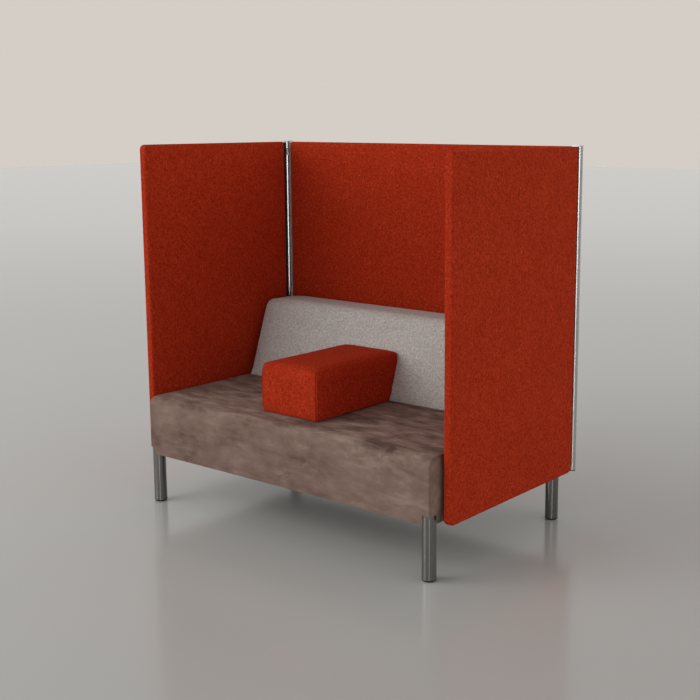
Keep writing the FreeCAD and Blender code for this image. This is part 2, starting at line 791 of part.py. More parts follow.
# A screen is a felt sleeve over a board with a padding sheet on each face, slit towards its posts.
def screen_pieces(name, thin, span, near, holes):
    low, high = span
    far = f"{near} + screen_thickness"
    middle = f"{near} + screen_thickness / 2"

    def corner(at_thin, at_wide, height):
        return (at_thin, at_wide, height) if thin == "x" else (at_wide, at_thin, height)

    def slab(label, thin_low, thin_high, inset, low_inset, high_inset):
        wide_low = f"{low} + {low_inset}"
        wide_high = f"{high} - {high_inset}"
        return span_box(label, corner(thin_low, wide_low, f"screen_hem + {inset}"),
                        corner(thin_high, wide_high, f"screen_height - {inset}"))

    def slit(label, edge):
        slit_low = corner(f"{middle} - slot_neck / 2", f"{edge} - core_inset", "strip_foot - soft_gap")
        slit_high = corner(f"{middle} + slot_neck / 2", f"{edge} + core_inset", "screen_height - felt_wall")
        return span_box(f"{name}_{label}_slit", slit_low, slit_high)

    def corner_radius(edge):
        if not runs_along(edge, thin):
            return 0
        spot = edge.CenterOfMass
        at_rear = thin == "x" and spot.y > value("0.5 * (side_screen_front + side_screen_rear)")
        if thin == "y" or at_rear and spot.z > value("screen_height / 2"):
            return value("screen_post_corner")
        return value("screen_corner")

    def rim_radius(edge):
        spread = edge.BoundBox
        thickness = spread.XLength if thin == "x" else spread.YLength
        return value("screen_edge") if thickness < flat else 0

    def inner(label, blank, inset):
        def inner_radius(edge):
            rounder = corner_radius(edge) > value("screen_post_corner")
            return value(f"screen_corner - {inset}") if rounder else 0

        return blank if thin == "y" else rounded(f"{name}_{label}", blank, inner_radius)

    sleeve = slab(name + "_sleeve_blank", near, far, "0", "0", "0")
    sleeve = rounded(name + "_sleeve_corners", sleeve, corner_radius)
    sleeve = rounded(name + "_sleeve_rims", sleeve, rim_radius)
    hollow = slab(name + "_hollow_blank", f"{near} + felt_wall", f"{far} - felt_wall",
                  "felt_wall", "felt_wall", "felt_wall")
    tools = [inner("hollow", hollow, "felt_wall"), slit("high", high)]
    if thin == "y":
        tools.append(slit("low", low))
    node(f"{name}_cover", cut(name + "_felt", sleeve, tools + holes))

    low_end = "core_inset" if thin == "x" else "core_end"
    board_low = f"{near} + core_inset + padding_sheet"
    board = slab(name + "_board_blank", board_low, f"{board_low} + core_thickness",
                 "core_inset", low_end, "core_end")
    node(f"{name}_core", cut(name + "_board", inner("board_corners", board, "core_inset"), holes))
    sheets = []
    for number, start in ((1, f"{near} + core_inset"), (2, f"{board_low} + core_thickness")):
        sheet = slab(f"{name}_sheet_blank_{number}", start, f"{start} + padding_sheet",
                     "core_inset", low_end, "core_end")
        sheet = inner(f"sheet_corners_{number}", sheet, "core_inset")
        sheets.append(cut(f"{name}_sheet_{number}", sheet, holes))
    node(f"{name}_padding", group(name + "_sheet_pair", sheets))


side_span = ("side_screen_front", "side_screen_rear")
back_span = ("(-back_screen_half)", "back_screen_half")
left_near = "(-screen_inner - screen_thickness)"
screen_pieces("left_screen", "x", side_span, left_near, side_holes["left"])
screen_pieces("right_screen", "x", side_span, "screen_inner", side_holes["right"])
screen_pieces("back_screen", "y", back_span, "back_screen_front", back_holes)

# T-shaped strips behind the screens' slits, which slide down into the posts' slots.
strip_half = "screen_thickness / 2 - core_inset"
neck_half = "slot_neck / 2 - soft_gap"
head_half = "slot_head / 2 - soft_gap"
strip_steps = [
    (strip_half, "post_reach + core_end"),
    (strip_half, "post_reach + core_inset"),
    (neck_half, "post_reach + core_inset"),
    (neck_half, "post_radius - slot_lip - soft_gap"),
    (head_half, "post_radius - slot_lip - soft_gap"),
    (head_half, "post_radius - slot_lip - slot_depth + soft_gap"),
]
strip_outline = strip_steps + [(f"-({half})", away) for half, away in reversed(strip_steps)]
window_low = "screen_height - window_drop - window_height"
window_high = "screen_height - window_drop"
back_strips = []
cap_screws = []
post_plugs = []
locking_keys = []


def cap_corner_radius(edge):
    if not runs_along(edge, "z"):
        return 0
    spot = edge.CenterOfMass
    outer = abs(spot.x) > value("post_x") and spot.y > value("post_y")
    return value("cap_outer") if outer else value("cap_corner")


def cap_edge_radius(edge):
    top = value("screen_height + cap_thickness")
    return value("cap_edge") if edge.BoundBox.ZMin > top - flat else 0


for side, sign in sides.items():
    axis_x = f"{sign} * post_x"
    window_space = rod(f"{side}_window_space", (axis_x, "post_y", f"{window_low} - bolt_gap"), "z",
                       "post_diameter", "window_height + 2 * bolt_gap")
    strip_length = "screen_height - strip_foot - core_inset"
    side_points = [(f"{axis_x} + ({half})", f"post_y - ({away})") for half, away in strip_outline]
    side_strip = prism(f"{side}_strip_blank", "XY_Plane", side_points, "strip_foot", strip_length)
    node(f"{side}_edge_strip", cut(f"{side}_strip", side_strip, [window_space]))
    back_points = [(f"{axis_x} - {sign} * ({away})", f"post_y + ({half})") for half, away in strip_outline]
    back_strip = prism(f"{side}_back_strip_blank", "XY_Plane", back_points, "strip_foot", strip_length)
    back_strips.append(cut(f"{side}_back_strip", back_strip, [window_space]))

    # Round post with a T-slot for each screen, a bore and a window towards the seat.
    tall = "screen_height - screen_hem"
    bar = rod(f"{side}_post_bar", (axis_x, "post_y", "screen_hem"), "z", "post_diameter", tall)
    tools = [rod(f"{side}_post_bore", (axis_x, "post_y", "screen_hem"), "z", "post_bore", tall)]
    slot_parts = (("neck", "slot_neck", "post_radius - slot_lip", "post_radius + slot_lip"),
                  ("head", "slot_head", "post_radius - slot_lip - slot_depth", "post_radius - slot_lip"))
    for label, width, near, far in slot_parts:
        tools.append(span_box(f"{side}_side_{label}",
                              (f"{axis_x} - {width} / 2", f"post_y - ({far})", "screen_hem"),
                              (f"{axis_x} + {width} / 2", f"post_y - ({near})", "screen_height")))
        low_x, high_x = (f"{axis_x} - ({far})", f"{axis_x} - ({near})") if sign > 0 else \
            (f"{axis_x} + ({near})", f"{axis_x} + ({far})")
        tools.append(span_box(f"{side}_back_{label}",
                              (low_x, f"post_y - {width} / 2", "screen_hem"),
                              (high_x, f"post_y + {width} / 2", "screen_height")))
    # The window and its key point diagonally into the corner.
    turn = -135 if sign > 0 else -45
    for label, width, start, length, height in (
            ("window", "window_width", "0", "post_diameter", "window_height"),
            ("key", "key_width", "post_bore / 2", "post_radius - post_bore / 2 - key_depth",
             "key_height")):
        piece = doc.addObject("Part::Box", f"{side}_{label}")
        piece.Placement = Placement(Vector(), Rotation(Vector(0, 0, 1), turn))
        for setting, text in (("Length", length), ("Width", width), ("Height", height)):
            bind(piece, setting, text)
        out = f"({start}) * sqrt(0.5)"
        half = f"{width} / 2 * sqrt(0.5)"
        place_at(piece, (f"{axis_x} - {sign} * {out} - {half}",
                         f"post_y - {out} + {sign} * {half}", window_low))
        if label == "window":
            tools.append(piece)
        else:
            locking_keys.append(piece)
    node(f"{side}_corner_post", cut(f"{side}_post", bar, tools))

    # Cap plate, round about the post at its outer corner, with its screw, and the plug below.
    low_x, high_x = (f"{axis_x} - cap_reach", f"{axis_x} + cap_outer") if sign > 0 else \
        (f"{axis_x} - cap_outer", f"{axis_x} + cap_reach")
    blank = span_box(f"{side}_cap_blank", (low_x, "post_y - cap_reach", "screen_height"),
                     (high_x, "post_y + cap_outer", "screen_height + cap_thickness"))
    cap_corners = rounded(f"{side}_cap_corners", blank, cap_corner_radius)
    cap_plate = rounded(f"{side}_cap_plate", cap_corners, cap_edge_radius)
    head_foot = "screen_height + cap_thickness - cap_screw_head_height"
    sink = rod(f"{side}_cap_sink", (axis_x, "post_y", head_foot), "z",
               "cap_screw_head + 2 * bolt_gap", "cap_thickness")
    hole = rod(f"{side}_cap_hole", (axis_x, "post_y", "screen_height - cap_thickness"), "z",
               "post_bore", "2 * cap_thickness")
    node(f"{side}_post_cap", cut(f"{side}_cap", cap_plate, [sink, hole]))
    head = rod(f"{side}_cap_screw_head", (axis_x, "post_y", head_foot), "z",
               "cap_screw_head", "cap_screw_head_height")
    shank = rod(f"{side}_cap_screw_shank",
                (axis_x, "post_y", f"{head_foot} - cap_screw_length"), "z",
                "cap_screw_diameter", "cap_screw_length")
    cap_screws.append(join(f"{side}_cap_screw", [head, shank]))
    post_plugs.append(turned(f"{side}_post_plug", [
        ("0", "0"),
        ("post_radius", "0"),
        ("post_radius", "plug_disc"),
        ("cap_screw_diameter / 2", "plug_disc"),
        ("cap_screw_diameter / 2", "plug_disc + plug_spigot"),
        ("0", "plug_disc + plug_spigot"),
    ], (axis_x, "post_y", "screen_hem - plug_disc")))
node("back_edge_strips", group("back_strip_pair", back_strips))
node("cap_screws", group("cap_screw_pair", cap_screws))
node("post_plugs", group("post_plug_pair", post_plugs))
node("locking_keys", group("key_pair", locking_keys))

doc.recompute()
failed = [item.Label for item in doc.Objects if {"Invalid", "Error"} & set(item.State)]
if failed:
    raise RuntimeError("these objects failed: " + ", ".join(failed))
for name, item in nodes.items():
    if item.Shape.isNull() or not item.Shape.isValid() or not item.Shape.Solids:
        raise RuntimeError("this sub-part has no valid solid: " + name)

os.makedirs("parts", exist_ok=True)
for name, item in nodes.items():
    item.Shape.exportStep(f"parts/{name}.step")
print(len(nodes), "sub-parts written")
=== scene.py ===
import json
import math

import bpy
import numpy as np
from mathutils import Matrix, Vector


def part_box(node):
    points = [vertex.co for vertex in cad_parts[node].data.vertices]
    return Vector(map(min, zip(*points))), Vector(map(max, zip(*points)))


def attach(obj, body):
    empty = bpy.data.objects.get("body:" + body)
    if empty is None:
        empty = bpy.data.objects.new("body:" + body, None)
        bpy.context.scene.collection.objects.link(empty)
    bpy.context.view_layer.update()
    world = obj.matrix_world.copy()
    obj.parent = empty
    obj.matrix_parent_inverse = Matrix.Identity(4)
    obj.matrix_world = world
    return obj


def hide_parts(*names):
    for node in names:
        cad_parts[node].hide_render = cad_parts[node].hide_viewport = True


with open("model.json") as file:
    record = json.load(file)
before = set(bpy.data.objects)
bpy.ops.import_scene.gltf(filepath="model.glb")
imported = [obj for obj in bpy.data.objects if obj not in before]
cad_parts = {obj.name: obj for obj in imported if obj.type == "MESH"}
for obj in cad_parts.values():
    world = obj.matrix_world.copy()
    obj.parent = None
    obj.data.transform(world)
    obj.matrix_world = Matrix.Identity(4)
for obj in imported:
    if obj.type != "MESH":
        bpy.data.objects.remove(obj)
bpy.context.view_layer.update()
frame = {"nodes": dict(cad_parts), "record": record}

scene = bpy.context.scene
nodes = frame["nodes"]
print("frame loaded:", len(nodes), "nodes")


# Shader sockets that take part in Python arithmetic

class Thread:
    def __init__(self, tree, socket=None):
        self.tree = tree
        self.socket = socket

    # any node: its type, its settings, and the values or links of its sockets
    def node(self, kind, settings=None, sockets=None, output=0):
        made = self.tree.nodes.new("ShaderNode" + kind)
        for key, setting in (settings or {}).items():
            if key == "stops":
                ramp = made.color_ramp
                while len(ramp.elements) < len(setting):
                    ramp.elements.new(1)
                for element, (place, shade) in zip(ramp.elements, setting):
                    element.position = place
                    element.color = shade
            else:
                setattr(made, key, setting)
        for key, given in (sockets or {}).items():
            if isinstance(given, Thread):
                self.tree.links.new(given.socket, made.inputs[key])
            else:
                made.inputs[key].default_value = given
        return Thread(self.tree, made.outputs[output])

    def calc(self, operation, first, second):
        return self.node("Math", {"operation": operation}, {0: first, 1: second})

    def __add__(self, other):
        return self.calc("ADD", self, other)

    def __sub__(self, other):
        return self.calc("SUBTRACT", self, other)

    def __rsub__(self, other):
        return self.calc("SUBTRACT", other, self)

    def __mul__(self, other):
        return self.calc("MULTIPLY", self, other)

    __radd__ = __add__
    __rmul__ = __mul__

    def within(self, low, high):  # 0 below low, 1 above high, smooth between
        return self.node("MapRange", {"interpolation_type": "SMOOTHSTEP"},
                         {"Value": self, "From Min": low, "From Max": high})


def tone(red, green, blue):  # a colour as seen on screen, 0 to 255, as the shader's linear one
    shares = np.array([red, green, blue]) / 255
    linear = np.where(shares <= 0.04045, shares / 12.92, ((shares + 0.055) / 1.055) ** 2.4)
    return (*linear.tolist(), 1.0)


def newFinish(name, fixed):
    material = bpy.data.materials.new(name)
    material.use_nodes = True
    shader = material.node_tree.nodes["Principled BSDF"]
    for key, setting in fixed.items():
        shader.inputs[key].default_value = setting
    start = Thread(material.node_tree)

    def dress(links):
        for key, given in links.items():
            material.node_tree.links.new(given.socket, shader.inputs[key])
        return material

    return start, dress


def grain(start, scale, stretch=(1, 1, 1), turn=(0, 0, 0), detail=3.0, rough=0.55, warp=0.0):
    place = start.node("TexCoord", output="Object")
    if stretch != (1, 1, 1) or turn != (0, 0, 0):
        place = start.node("Mapping", None, {"Vector": place, "Rotation": turn, "Scale": stretch})
    return start.node("TexNoise", None, {"Vector": place, "Scale": scale, "Detail": detail,
                                         "Roughness": rough, "Distortion": warp})


def mixed(start, share, first, second):
    return start.node("Mix", {"data_type": "RGBA"}, {0: share, 6: first, 7: second}, 2)


def relief(start, height, depth, strength):
    return start.node("Bump", None, {"Height": height, "Distance": depth, "Strength": strength})


def seamShare(start):  # how near a sewn seam is, stored on the sewn pieces
    return start.node("Attribute", {"attribute_name": "seam"}, output="Fac")


# Felt: short fibres lying three ways over a mottled ground, with a few strong flecks
fibreWays = (
    ((1, 0.22, 1), (0.3, 0.5, 0.4)),
    ((0.22, 1, 0.3), (0.6, 0.2, 0.9)),
    ((1, 0.5, 0.2), (0.2, 0.9, 0.3)),
)  # how far the fibres are drawn out along each axis, and how they are turned


def feltFinish(name, look):
    start, dress = newFinish(name, {"Sheen Weight": look["sheen"], "Sheen Roughness": 0.45,
                                    "Sheen Tint": look["light"], "Specular IOR Level": 0.06})
    lengthwise, crosswise, upright = [grain(start, look["fibres"], stretch, turn, 2.0, 0.6, 0.6)
                                      for stretch, turn in fibreWays]
    hairs = start.calc("MAXIMUM", start.calc("MAXIMUM", lengthwise, crosswise), upright)
    mottle = grain(start, look["mottle"], detail=4.0, rough=0.7)
    cloud = grain(start, look["cloud"], detail=2.0)
    ground = mixed(start, mottle.within(0.36, 0.64), look["dark"], look["base"])
    ground = mixed(start, hairs.within(0.55, 0.74) * look["hairShare"], ground, look["light"])
    flecks = grain(start, look["flecks"], detail=1.0).within(0.64, 0.74)
    ground = mixed(start, flecks * look["fleckShare"], ground, look["fleckAndSeamShadeTone"])
    ground = mixed(start, cloud.within(0.35, 0.65) * look["cloudShare"], ground, look["dark"])
    # painted shade: the felt is darkened towards the fleck tone along the sewn seams
    ground = mixed(start, seamShare(start) * look["paintedSeamShade"], ground, look["fleckAndSeamShadeTone"])
    height = hairs * 0.6 + mottle * 0.4
    return dress({"Base Color": ground, "Roughness": 0.88 + mottle * 0.12,
                  "Normal": relief(start, height, 0.0009, look["relief"])})


# Suede cloth: brushed patches of nap with soft edges, drawn out in strokes, over a fine grain
def suedeFinish(name, look):
    start, dress = newFinish(name, {"Sheen Weight": 0.35, "Sheen Roughness": 0.4,
                                    "Sheen Tint": look["light"], "Specular IOR Level": 0.2})
    strokes = grain(start, look["strokes"], (0.5, 1.5, 1.1), (0, 0, 0.25), 7.0, 0.66, 0.9)
    patches = grain(start, look["patches"], (0.8, 1.2, 1), (0.1, 0.2, -0.4), 3.0, 0.5, 0.6)
    brushed = grain(start, look["brushed"], (0.35, 1.4, 1.2), (0, 0, 0.5), 4.0, 0.6, 0.5)
    fine = grain(start, look["fine"], detail=2.0)
    place = start.node("TexCoord", output="Object")
    sideways = start.node("SeparateXYZ", None, {0: place}, 0)
    level = start.node("SeparateXYZ", None, {0: place}, 2)
    onTop = level.within(*look["topZone"])
    contrast = look["frontContrast"] + onTop * (look["topContrast"] - look["frontContrast"])
    nap = 0.5 + (strokes * 0.45 + patches * 0.25 + brushed * 0.3 - 0.5) * contrast
    # marks with sharper edges, in some zones only, both darker and lighter than the rest
    marks = grain(start, look["marks"], (0.6, 1.3, 1.1), (0.3, 0.1, 0.7), 5.0, 0.6, 1.2).within(0.5, 0.56)
    stroked = grain(start, look["markZones"], detail=1.0).within(0.46, 0.6)
    nap = nap + (marks - 0.6) * stroked * look["markDepth"]
    # painted light and shade: the front is painted lighter towards one end, and the top is painted a little
    # darker
    paintedFrontLight = sideways.within(*look["paintedFrontLightZone"]) * (1 - onTop) * look["paintedFrontLight"]
    nap = nap + paintedFrontLight - onTop * look["paintedTopShade"]
    ground = start.node("ValToRGB", {"stops": look["stops"]}, {"Fac": nap})
    ground = mixed(start, fine.within(0.4, 0.7) * look["fineShare"], ground, look["dark"])
    # painted shade: the suede is darkened along the sewn seams
    ground = mixed(start, seamShare(start) * look["paintedSeamShade"], ground, look["dark"])
    height = fine * 0.7 + nap * 0.5
    return dress({"Base Color": ground, "Roughness": 0.78 + nap * 0.2,
                  "Normal": relief(start, height, 0.0006, 0.35)})


# Metal with fine lines along one way and a little wear
def metalFinish(name, look):
    start, dress = newFinish(name, {"Metallic": look.get("metallic", 1.0)})
    lines = grain(start, look["lines"], look["stretch"], detail=3.0, rough=0.6)
    smear = grain(start, 30, detail=3.0)
    ground = mixed(start, lines.within(0.3, 0.7) * 0.5 + smear * 0.3, look["dark"], look["light"])
    rough = look["rough"] + lines * look["roughSpread"] + smear.within(0.5, 0.75) * 0.06
    return dress({"Base Color": ground, "Roughness": rough,
                  "Normal": relief(start, lines, 0.0002, 0.08)})


# Moulded plastic, rubber and coated metal: a fine pebble with rubbed spots
def mouldedFinish(name, look):
    start, dress = newFinish(name, {"Specular IOR Level": 0.4})
    pebble = grain(start, look["pebble"], detail=2.0)
    rubbed = grain(start, 60, detail=4.0, rough=0.7).within(0.52, 0.72)
    ground = mixed(start, rubbed * 0.5, look["dark"], look["light"])
    return dress({"Base Color": ground, "Roughness": look["rough"] + rubbed * 0.12,
                  "Normal": relief(start, pebble, 0.0003, 0.25)})


# Board: long grain lines with darker late wood
def boardFinish(name, look):
    start, dress = newFinish(name, {"Specular IOR Level": 0.25})
    streaks = grain(start, look["streaks"], (0.05, 1, 1), detail=5.0, rough=0.65, warp=0.8)
    pores = grain(start, look["pores"], (0.08, 1, 1), detail=2.0)
    ground = mixed(start, streaks.within(0.38, 0.66), look["light"], look["dark"])
    ground = mixed(start, pores.within(0.6, 0.72) * 0.4, ground, look["dark"])
    return dress({"Base Color": ground, "Roughness": 0.6 + streaks * 0.2,
                  "Normal": relief(start, pores, 0.0003, 0.3)})


# Strap and dust cloth: crossing ribs of a plain weave
def wovenFinish(name, look):
    start, dress = newFinish(name, {"Specular IOR Level": 0.2})
    place = start.node("TexCoord", output="Object")
    ribInputs = {"Vector": place, "Scale": look["ribs"]}
    warpRibs, weftRibs = [start.node("TexWave", {"bands_direction": way}, ribInputs) for way in "XY"]
    ribs = start.calc("MAXIMUM", warpRibs, weftRibs)
    fuzz = grain(start, 500)
    ground = mixed(start, ribs * 0.7 + fuzz * 0.3, look["dark"], look["light"])
    return dress({"Base Color": ground, "Roughness": 0.85 + fuzz * 0.1,
                  "Normal": relief(start, ribs, 0.0006, 0.4)})


redLook = {
    "base": tone(176, 51, 23), "dark": tone(140, 31, 11), "light": tone(216, 91, 55),
    "fleckAndSeamShadeTone": tone(100, 22, 8), "sheen": 0.06, "fibres": 420, "mottle": 120, "cloud": 9,
    "flecks": 210, "hairShare": 0.45, "fleckShare": 0.55, "cloudShare": 0.12, "paintedSeamShade": 0.7, "relief": 0.5,
}
greyLook = {
    "base": tone(200, 197, 193), "dark": tone(164, 160, 156), "light": tone(230, 228, 226),
    "fleckAndSeamShadeTone": tone(128, 119, 113), "sheen": 0.05, "fibres": 420, "mottle": 130, "cloud": 12,
    "flecks": 190, "hairShare": 0.5, "fleckShare": 0.6, "cloudShare": 0.12, "paintedSeamShade": 0.7, "relief": 0.5,
}
suedeLook = {
    "light": tone(160, 140, 128), "dark": tone(88, 70, 62), "strokes": 7.5, "patches": 11, "brushed": 34,
    "fine": 1500, "marks": 16, "markZones": 6, "markDepth": 0.045, "frontContrast": 0.6, "topContrast": 1.3,
    "topZone": (0.405, 0.427), "paintedFrontLight": 0.035, "paintedFrontLightZone": (0.1, 0.6), "paintedTopShade": 0.02, "fineShare": 0.15,
    "paintedSeamShade": 0.5,
    "stops": [(0.39, tone(84, 63, 55)), (0.46, tone(114, 92, 82)), (0.53, tone(130, 108, 98)),
              (0.61, tone(152, 131, 120))],
}
steelLook = {"dark": tone(122, 121, 119), "light": tone(150, 149, 146), "lines": 900,
             "stretch": (1, 1, 0.02), "rough": 0.11, "roughSpread": 0.05}
zincLook = {"dark": tone(150, 150, 146), "light": tone(198, 198, 194), "lines": 150,
            "stretch": (1, 1, 1), "rough": 0.3, "roughSpread": 0.15}
aluminiumLook = {"dark": tone(196, 196, 195), "light": tone(228, 228, 227), "lines": 700,
                 "stretch": (1, 1, 0.01), "rough": 0.2, "roughSpread": 0.1}
keyLook = {"dark": tone(156, 153, 159), "light": tone(190, 188, 194), "lines": 300, "metallic": 0.2,
           "stretch": (1, 1, 0.2), "rough": 0.4, "roughSpread": 0.1}
coatedLook = {"dark": tone(20, 20, 21), "light": tone(38, 38, 40), "pebble": 900, "rough": 0.42}
plasticLook = {"dark": tone(24, 24, 25), "light": tone(44, 44, 45), "pebble": 700, "rough": 0.5}
rubberLook = {"dark": tone(30, 30, 30), "light": tone(54, 53, 52), "pebble": 500, "rough": 0.75}
foamLook = {"dark": tone(196, 186, 150), "light": tone(226, 216, 184), "pebble": 420, "rough": 0.9}
boardLook = {"light": tone(206, 176, 132), "dark": tone(164, 126, 84), "streaks": 46, "pores": 260}
strapLook = {"dark": tone(34, 32, 30), "light": tone(86, 82, 78), "ribs": 320}
dustLook = {"dark": tone(14, 14, 14), "light": tone(34, 34, 35), "ribs": 520}

finishes = {
    "red_felt": feltFinish("red_felt", redLook),
    "grey_felt": feltFinish("grey_felt", greyLook),
    "suede": suedeFinish("suede", suedeLook),
    "foam": mouldedFinish("foam", foamLook),
    "plywood": boardFinish("plywood", boardLook),
    "webbing": wovenFinish("webbing", strapLook),
    "dust_cloth": wovenFinish("dust_cloth", dustLook),
    "satin_steel": metalFinish("satin_steel", steelLook),
    "zinc_steel": metalFinish("zinc_steel", zincLook),
    "bright_aluminium": metalFinish("bright_aluminium", aluminiumLook),
    "grey_metal": metalFinish("grey_metal", keyLook),
    "black_metal": mouldedFinish("black_metal", coatedLook),
    "black_plastic": mouldedFinish("black_plastic", plasticLook),
    "grip_rubber": mouldedFinish("grip_rubber", rubberLook),
}
slotOf = {row["node"]: row["material_slot"] for row in frame["record"]["subparts"]}
for name, item in nodes.items():
    item.data.materials.clear()
    item.data.materials.append(finishes[slotOf[name]])
print("finishes made:", len(finishes))


# Grid lines along one side of a block: even between its rounded ends, and at even angles round them
def gridLines(low, high, lowZone, highZone, step, ring):
    turn = np.tan(np.linspace(math.pi / 4, 0, ring + 1))
    count = max(1, round((high - low - lowZone - highZone) / step))
    middle = np.linspace(low + lowZone, high - highZone, count + 1)
    start = low + lowZone * (1 - turn[:-1])
    end = high - highZone * (1 - turn[::-1][1:])
    return np.concatenate([start, middle, end])


# The six faces of a box as grids, with the points on shared edges merged by their grid numbers
def boxSurface(lines):
    counts = [len(line) for line in lines]
    numbers = []
    quads = []
    start = 0
    for fixed in range(3):
        u, v = [axis for axis in range(3) if axis != fixed]
        for end in (0, counts[fixed] - 1):
            across, along = np.meshgrid(np.arange(counts[u]), np.arange(counts[v]), indexing="ij")
            spot = np.zeros((across.size, 3), int)
            spot[:, fixed] = end
            spot[:, u] = across.ravel()
            spot[:, v] = along.ravel()
            cell = start + np.arange(across.size).reshape(across.shape)
            face = np.stack([cell[:-1, :-1], cell[1:, :-1], cell[1:, 1:], cell[:-1, 1:]], -1).reshape(-1, 4)
            faceOut = (end > 0) != (fixed == 1)
            numbers.append(spot)
            quads.append(face if faceOut else face[:, ::-1])
            start += across.size
    numbers = np.concatenate(numbers)
    keys = (numbers[:, 0] * counts[1] + numbers[:, 1]) * counts[2] + numbers[:, 2]
    first, place = np.unique(keys, return_index=True, return_inverse=True)[1:]
    numbers = numbers[first]
    flat = np.stack([lines[axis][numbers[:, axis]] for axis in range(3)], -1)
    return flat, place.reshape(-1)[np.concatenate(quads)]


# A block with rounded corners round one axis and rounded edges at that axis's two ends.
# A point's square distance from the corner's core becomes its round one, and then the same is done
# between that outline and the two end faces. A rule for how the radii change over the block may be given.
def roundBlock(low, high, axis, corners, edges, step, ring=6, rule=None):
    a, b = [side for side in range(3) if side != axis]
    lines = [None] * 3
    lines[axis] = gridLines(low[axis], high[axis], edges[0], edges[1], step, ring)
    zones = {a: ((0, 2), (1, 3)), b: ((0, 1), (2, 3))}  # the corners at each side's low and high end
    for side, ends in zones.items():
        lowZone, highZone = [max(corners[number] for number in end) for end in ends]
        lines[side] = gridLines(low[side], high[side], lowZone, highZone, step, ring)
    flat, quads = boxSurface(lines)
    upA = flat[:, a] > (low[a] + high[a]) / 2
    upB = flat[:, b] > (low[b] + high[b]) / 2
    upT = flat[:, axis] > (low[axis] + high[axis]) / 2
    radius = np.array(corners)[upA + 2 * upB]
    edge = np.array(edges)[upT.astype(int)]
    if rule:
        radius, edge = rule(flat, radius, edge)
    coreA = np.clip(flat[:, a], low[a] + radius, high[a] - radius)
    coreB = np.clip(flat[:, b], low[b] + radius, high[b] - radius)
    away = np.stack([flat[:, a] - coreA, flat[:, b] - coreB], -1)
    square = np.abs(away).max(1)
    direct = away / np.maximum(np.linalg.norm(away, axis=1, keepdims=True), 1e-12)
    face = np.where(upT, high[axis], low[axis])
    outward = np.clip(square - (radius - edge), 0, edge)
    endward = np.clip(edge - np.abs(flat[:, axis] - face), 0, edge)
    shrink = np.maximum(outward, endward) / np.maximum(np.hypot(outward, endward), 1e-12)
    reach = np.where(outward > 0, radius - edge + outward * shrink, square)
    points = flat.copy()
    points[:, a] = coreA + direct[:, 0] * reach
    points[:, b] = coreB + direct[:, 1] * reach
    inset = np.where(endward > 0, edge - endward * shrink, np.abs(flat[:, axis] - face))
    points[:, axis] = face + np.where(upT, -inset, inset)
    return points, quads, flat


def ease(values, low, high):  # 0 below low, 1 above high, smooth between
    share = ((values - low) / (high - low)).clip(0, 1)
    return share * share * (3 - 2 * share)


# Radii that shrink to a tight one at the foot of a block, where it is pulled down on its base
def tightFoot(base, tight, rise):
    def rule(flat, radius, edge):
        edge = tight + (edge - tight) * ease(flat[:, 2], base, base + rise)
        return np.maximum(radius, edge), edge
    return rule


# Upright corners that are tight at mid-height and rounder near the top and the foot, each over a height
# that is a share of the drop
def tightSides(base, top, tight, foot, drop):
    def rule(flat, radius, edge):
        nearTop = ease(flat[:, 2], top - 1.4 * drop, top - 0.4 * drop)
        nearFoot = ease(base + 0.8 * drop - flat[:, 2], 0, 0.6 * drop)
        return tight + (radius - tight) * nearTop + (foot - tight) * nearFoot, edge
    return rule


def meshPiece(name, points, quads, flat=None):
    mesh = bpy.data.meshes.new(name)
    mesh.from_pydata(points.tolist(), [], quads.tolist())
    mesh.polygons.foreach_set("use_smooth", np.ones(len(mesh.polygons), bool))
    if flat is not None:
        mesh.attributes.new("flat", "FLOAT_VECTOR", "POINT").data.foreach_set("vector", flat.ravel())
    piece = bpy.data.objects.new(name, mesh)
    scene.collection.objects.link(piece)
    return piece


def pointsOf(mesh):
    points = np.zeros(len(mesh.vertices) * 3)
    mesh.vertices.foreach_get("co", points)
    return points.reshape(-1, 3)


def setPoints(mesh, points):
    mesh.vertices.foreach_set("co", points.ravel())
    mesh.update()


def evaluatedMesh(piece):
    graph = bpy.context.evaluated_depsgraph_get()
    return bpy.data.meshes.new_from_object(piece.evaluated_get(graph), depsgraph=graph)


# Cloth blown up from inside, held along its seams and under its foot; a point moves at most the cap
def swell(piece, held, look):
    rest = pointsOf(piece.data)
    group = piece.vertex_groups.new(name="held")
    group.add(np.flatnonzero(held).tolist(), 1.0, "REPLACE")
    modifier = piece.modifiers.new("swell", "CLOTH")
    cloth = modifier.settings
    cloth.use_pressure = True
    cloth.uniform_pressure_force = look["pressure"]
    cloth.effector_weights.gravity = 0
    cloth.vertex_group_mass = group.name
    cloth.tension_stiffness = look["stiffness"]
    cloth.compression_stiffness = look["stiffness"]
    for number in range(1, 21):
        scene.frame_set(number)
    blown = pointsOf(evaluatedMesh(piece))
    scene.frame_set(1)
    piece.modifiers.remove(modifier)
    piece.vertex_groups.remove(group)
    move = blown - rest
    length = np.maximum(np.linalg.norm(move, axis=1, keepdims=True), 1e-9)
    rest = rest + move / length * look["cap"] * np.tanh(length / look["cap"])
    setPoints(piece.data, rest)
    print(piece.name, "swollen, mean move", round(float(length.mean()) * 1000, 2), "mm")
    finer = piece.modifiers.new("finer", "SUBSURF")
    finer.levels = finer.render_levels = 1
    piece.data = evaluatedMesh(piece)
    piece.modifiers.clear()


